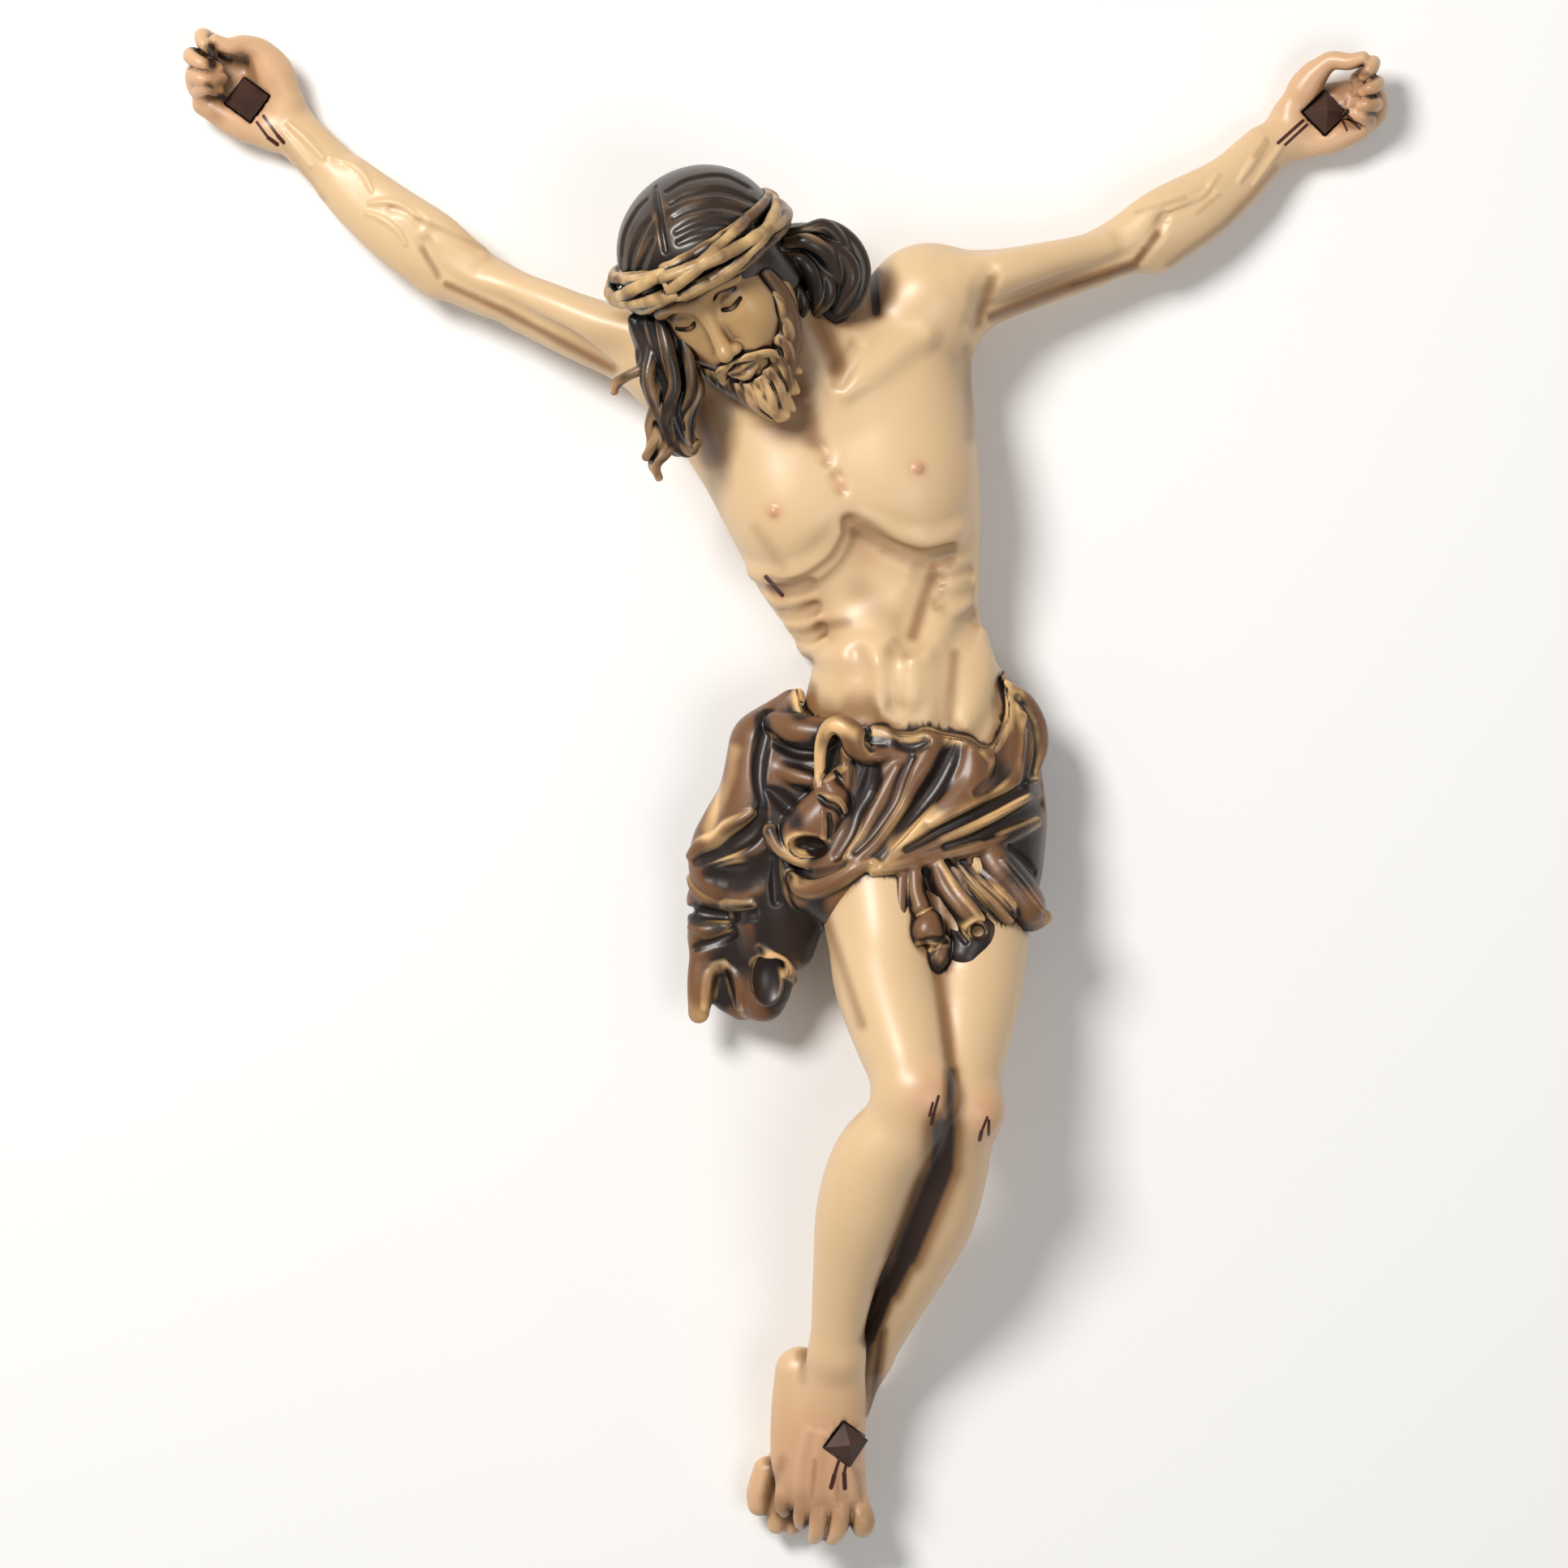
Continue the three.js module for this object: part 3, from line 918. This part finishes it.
function thin({ points, faces }, keep) {
  const spots = Float64Array.from(points);
  const tris = Int32Array.from(faces);
  const count = spots.length / 3;
  const around = Array.from({ length: count }, () => []);
  tris.forEach((v, i) => around[v].push((i / 3) | 0));
  const quadrics = new Float64Array(count * 10);
  const stamps = new Int32Array(count);
  const gone = new Uint8Array(tris.length / 3);

  function plane(a, b, c) {
    const [ux, uy, uz] = [spots[b] - spots[a], spots[b + 1] - spots[a + 1], spots[b + 2] - spots[a + 2]];
    const [vx, vy, vz] = [spots[c] - spots[a], spots[c + 1] - spots[a + 1], spots[c + 2] - spots[a + 2]];
    return [uy * vz - uz * vy, uz * vx - ux * vz, ux * vy - uy * vx];
  }

  for (let t = 0; t < gone.length; t++) {
    const at = [tris[3 * t] * 3, tris[3 * t + 1] * 3, tris[3 * t + 2] * 3];
    const n = plane(...at);
    const area = Math.hypot(...n);
    if (area < 1e-9) continue;
    const [a, b, c] = n.map((v) => v / area);
    const [x, y, z] = [spots[at[0]], spots[at[0] + 1], spots[at[0] + 2]];
    const d = -(a * x + b * y + c * z);
    const care = area * careFor(x, y, z);
    const q = [a * a, a * b, a * c, a * d, b * b, b * c, b * d, c * c, c * d, d * d];
    for (const v of at) q.forEach((w, i) => { quadrics[(v / 3) * 10 + i] += w * care; });
  }

  const cost = (q, x, y, z) => q[0] * x * x + q[4] * y * y + q[7] * z * z + q[9]
    + 2 * (q[1] * x * y + q[2] * x * z + q[3] * x + q[5] * y * z + q[6] * y + q[8] * z);

  function merged(u, v) {
    const q = [];
    for (let i = 0; i < 10; i++) q.push(quadrics[u * 10 + i] + quadrics[v * 10 + i]);
    const [a, b, c, , e, f, , h] = q;
    const det = a * (e * h - f * f) - b * (b * h - f * c) + c * (b * f - e * c);
    const middle = [0, 1, 2].map((i) => (spots[3 * u + i] + spots[3 * v + i]) / 2);
    if (Math.abs(det) > 1e-3 * (a + e + h) ** 3 / 27) {
      const [p, r, s] = [-q[3], -q[6], -q[8]];
      const best = [
        (p * (e * h - f * f) - b * (r * h - f * s) + c * (r * f - e * s)) / det,
        (a * (r * h - f * s) - p * (b * h - f * c) + c * (b * s - r * c)) / det,
        (a * (e * s - r * f) - b * (b * s - r * c) + p * (b * f - e * c)) / det,
      ];
      const off = Math.hypot(...best.map((w, i) => w - middle[i]));
      const long = Math.hypot(...[0, 1, 2].map((i) => spots[3 * u + i] - spots[3 * v + i]));
      if (off < 1.5 * long) return [cost(q, ...best), best];
    }
    return [cost(q, ...middle), middle];
  }

  const heap = new Heap();
  const offer = (u, v) => heap.push([merged(u, v)[0], u, v, stamps[u] + stamps[v]]);
  for (let t = 0; t < gone.length; t++) {
    for (let k = 0; k < 3; k++) {
      const [u, v] = [tris[3 * t + k], tris[3 * t + ((k + 1) % 3)]];
      if (u < v) offer(u, v);
    }
  }

  const seen = new Int32Array(count);
  let round = 0;

  function sharedNeighbours(u, v) {
    round += 2;
    for (const t of around[u]) for (let k = 0; k < 3; k++) seen[tris[3 * t + k]] = round;
    let shared = 0;
    for (const t of around[v]) {
      for (let k = 0; k < 3; k++) {
        const w = tris[3 * t + k];
        if (w !== u && w !== v && seen[w] === round) {
          shared++;
          seen[w] = round + 1;
        }
      }
    }
    return shared;
  }

  // A move is allowed when no face turns over or becomes a worse needle
  function allowed(v, other, spot) {
    for (const t of around[v]) {
      const k = tris[3 * t] === v ? 0 : tris[3 * t + 1] === v ? 1 : 2;
      const [b, c] = [tris[3 * t + ((k + 1) % 3)], tris[3 * t + ((k + 2) % 3)]];
      if (b === other || c === other) continue;
      const [bx, by, bz] = [spots[3 * b], spots[3 * b + 1], spots[3 * b + 2]];
      const [ex, ey, ez] = [spots[3 * c] - bx, spots[3 * c + 1] - by, spots[3 * c + 2] - bz];
      const [ox, oy, oz] = [spots[3 * v] - bx, spots[3 * v + 1] - by, spots[3 * v + 2] - bz];
      const [nx, ny, nz] = [spot[0] - bx, spot[1] - by, spot[2] - bz];
      const old = [ey * oz - ez * oy, ez * ox - ex * oz, ex * oy - ey * ox];
      const now = [ey * nz - ez * ny, ez * nx - ex * nz, ex * ny - ey * nx];
      const [m, n] = [Math.hypot(...old), Math.hypot(...now)];
      const edge = ex * ex + ey * ey + ez * ez;
      const was = m / Math.max(edge, ox * ox + oy * oy + oz * oz);
      const is = n / Math.max(edge, nx * nx + ny * ny + nz * nz);
      if (is < 0.07 && is < 0.9 * was) return false;
      if (was > 0.1 && old[0] * now[0] + old[1] * now[1] + old[2] * now[2] < 0.3 * m * n) return false;
    }
    return true;
  }

  let left = gone.length;
  let refused = [];
  let fewest = left;
  while (left > keep) {
    if (!heap.rows.length) {
      if (left === fewest) break;
      fewest = left;
      const again = refused;
      refused = [];
      for (const [u, v] of again) if (around[u].length && around[v].length) offer(u, v);
      continue;
    }
    const [, u, v, stamp] = heap.pop();
    if (!around[u].length || !around[v].length || stamps[u] + stamps[v] !== stamp) continue;
    if (sharedNeighbours(u, v) !== 2) continue;
    const spot = merged(u, v)[1];
    if (!allowed(u, v, spot) || !allowed(v, u, spot)) {
      refused.push([u, v]);
      continue;
    }
    for (const t of around[v]) {
      const at = [3 * t, 3 * t + 1, 3 * t + 2];
      if (at.some((i) => tris[i] === u)) {
        gone[t] = 1;
        left--;
        for (const i of at) if (tris[i] !== v) around[tris[i]] = around[tris[i]].filter((s) => s !== t);
      } else {
        for (const i of at) if (tris[i] === v) tris[i] = u;
        around[u].push(t);
      }
    }
    around[v] = [];
    spots.set(spot, 3 * u);
    for (let i = 0; i < 10; i++) quadrics[u * 10 + i] += quadrics[v * 10 + i];
    stamps[u] += stamps[v] + 1;
    round += 2;
    for (const t of around[u]) {
      for (let k = 0; k < 3; k++) {
        const w = tris[3 * t + k];
        if (w !== u && seen[w] !== round) {
          seen[w] = round;
          offer(u, w);
        }
      }
    }
  }
  const kept = [];
  for (let t = 0; t < gone.length; t++) {
    if (!gone[t]) kept.push(tris[3 * t], tris[3 * t + 1], tris[3 * t + 2]);
  }
  return { points: spots, faces: kept };
}

// Solids: what is cut from or set into the carving, in millimetres

function solid(geometry) {
  const bare = geometry.clone();
  bare.deleteAttribute('normal');
  bare.deleteAttribute('uv');
  const merged = mergeVertices(bare, 1e-5);
  const mesh = new wasm.Mesh({
    numProp: 3, vertProperties: Float32Array.from(merged.attributes.position.array),
    triVerts: Uint32Array.from(merged.index.array),
  });
  return new wasm.Manifold(mesh);
}

function geometryOf(manifold) {
  const mesh = manifold.getMesh();
  const geometry = new THREE.BufferGeometry();
  geometry.setAttribute('position', new THREE.BufferAttribute(Float32Array.from(mesh.vertProperties), 3));
  geometry.setIndex(new THREE.BufferAttribute(Uint32Array.from(mesh.triVerts), 1));
  geometry.computeVertexNormals();
  return geometry;
}

// Turned with four sides, a profile gives the square collar, pyramid and tapered shank of a forged nail
function turned(profile) {
  const geometry = new THREE.LatheGeometry(profile.map(([x, y]) => new THREE.Vector2(x, y)), 4);
  return geometry.rotateX(Math.PI / 2);
}

function nailShape(length) {
  const corner = (side) => side / Math.SQRT2;
  return turned([
    [0, -length], [corner(nailTip), -length], [corner(nailShank), 0], [corner(nailHeadSide), 0],
    [corner(nailHeadSide), nailCollar], [0, nailCollar + nailHeadRise],
  ]);
}

// What a nail's hole removes: its shape with nailFit around it, on through the back and out above the head
function holeShape(length) {
  const corner = (side) => (side + 2 * nailFit) / Math.SQRT2;
  const through = length + figureHeight;
  const clearAbove = 4 * nailHeadRise;
  return turned([
    [0, -through], [corner(nailTip), -through], [corner(nailTip), -length], [corner(nailShank), -nailFit],
    [corner(nailHeadSide), -nailFit], [corner(nailHeadSide), clearAbove], [0, clearAbove],
  ]);
}

// Where each nail enters: its place on the drawing, the turn of its square head and its lean, in degrees
const nails = {
  right_hand_nail: { x: 305, y: 124, turn: 8, lean: [-6, 4] },
  left_hand_nail: { x: 1631, y: 140, turn: 0, lean: [8, 6] },
  feet_nail: { x: 1042, y: 1778, turn: 8, lean: [14, -2] },
};

function nailPlace(clay, { x, y, turn, lean }) {
  const [sx, sy] = place(x, y, clay.top(...place(x, y, 100)));
  const seat = clay.top(sx, sy) * stepMm - nailSeat;
  const [leanX, leanY] = lean.map(THREE.MathUtils.degToRad);
  const spin = new THREE.Matrix4().makeRotationZ(THREE.MathUtils.degToRad(turn));
  const matrix = new THREE.Matrix4().makeRotationFromEuler(new THREE.Euler(-leanY, leanX, 0)).multiply(spin);
  const steepness = Math.cos(leanX) * Math.cos(leanY);
  const tipDrop = (nailTip / Math.SQRT2) * Math.sin(Math.acos(steepness));
  matrix.setPosition(sx * stepMm, sy * stepMm, seat);
  return { matrix, length: (seat - nailShort - tipDrop) / steepness };
}

function carving(clay, places) {
  const { points, faces } = thin(layMesh(clay), facesKept);
  const geometry = new THREE.BufferGeometry();
  geometry.setAttribute('position', new THREE.Float32BufferAttribute(points.map((v) => v * stepMm), 3));
  geometry.setIndex(faces);
  const below = new THREE.BoxGeometry(2 * figureHeight, 2 * figureHeight, figureHeight);
  below.translate(0, 0, -figureHeight / 2);
  const pieces = solid(geometry).subtract(solid(below)).decompose();
  let body = pieces.reduce((most, piece) => (piece.volume() > most.volume() ? piece : most));
  for (const { matrix, length } of Object.values(places)) {
    body = body.subtract(solid(holeShape(length).applyMatrix4(matrix)));
  }
  return geometryOf(body);
}

const paintedWood = new THREE.MeshStandardMaterial({ color: 0xe6c38e, roughness: 0.45, metalness: 0 });
const darkNail = new THREE.MeshStandardMaterial({ color: 0x3a2417, roughness: 0.5, metalness: 0.1 });

const group = new THREE.Group();
const clay = figure();
const places = Object.fromEntries(Object.entries(nails).map(([name, nail]) => [name, nailPlace(clay, nail)]));
const corpus = new THREE.Mesh(carving(clay, places), paintedWood);
corpus.name = 'corpus';
group.add(corpus);
for (const [name, { matrix, length }] of Object.entries(places)) {
  const nail = new THREE.Mesh(nailShape(length), darkNail);
  nail.name = name;
  nail.applyMatrix4(matrix);
  group.add(nail);
}

// The figure's box stands centred on the origin, with its back at z = 0
corpus.geometry.computeBoundingBox();
const middle = corpus.geometry.boundingBox.getCenter(new THREE.Vector3());
group.position.set(-middle.x, -middle.y, 0);

export default group;
